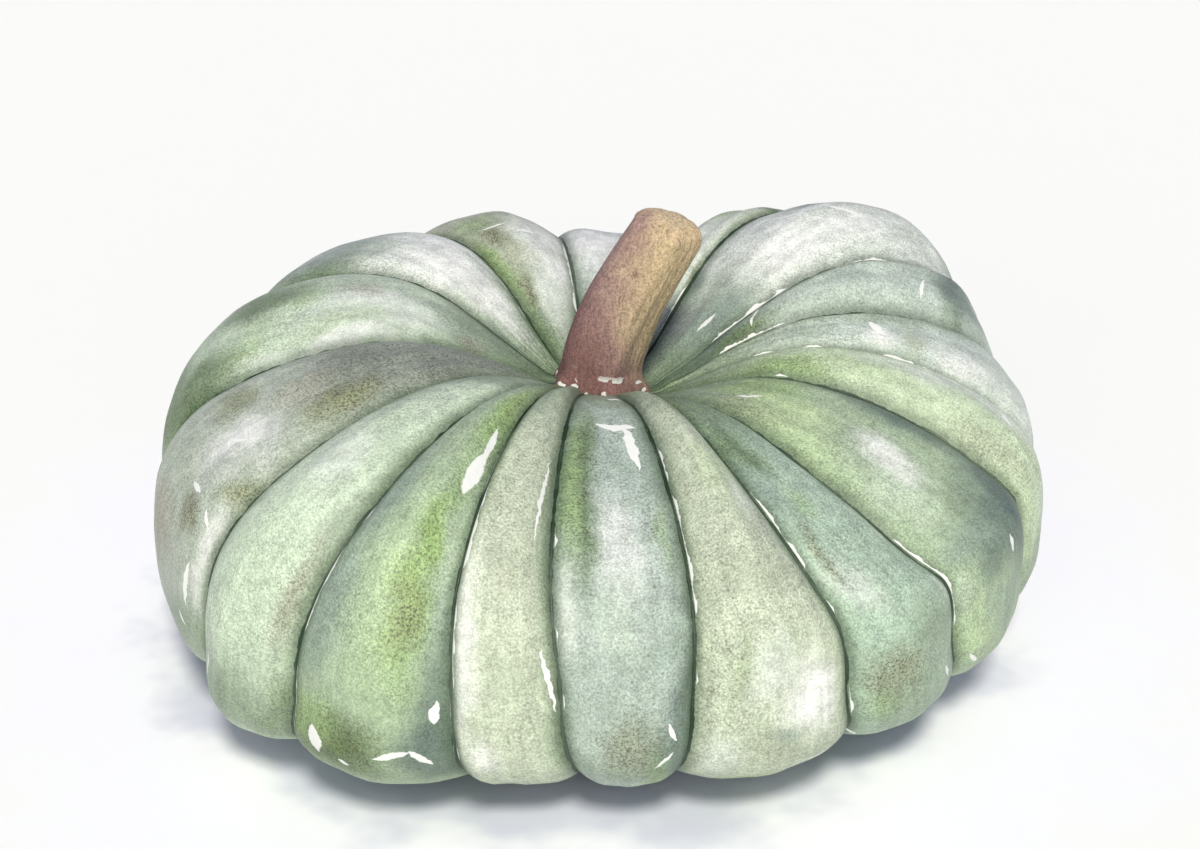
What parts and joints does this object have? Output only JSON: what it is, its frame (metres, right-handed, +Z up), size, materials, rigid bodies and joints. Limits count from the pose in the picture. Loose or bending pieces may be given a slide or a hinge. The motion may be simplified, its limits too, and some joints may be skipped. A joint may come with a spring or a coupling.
{
  "type": "pumpkin",
  "caption": "Squat grey-green pumpkin with uneven deep ribs, a sunken crown and a short brown stem that leans to one side.",
  "frame": {"origin": "on the surface that the pumpkin rests on, under the middle of its bounding box", "axes": "+Z up along the stem; -Y towards the side that the picture shows; +X to the right there, the way the stem leans"},
  "size_m": [0.2914, 0.2943, 0.1417],
  "materials": {
    "rind": "waxy, softly mottled grey-green rind",
    "stem_bark": "dry, corky, matt stalk"
  },
  "bodies": {
    "root": {"fruit": "rind", "stem": "stem_bark"}
  },
  "joints": []
}
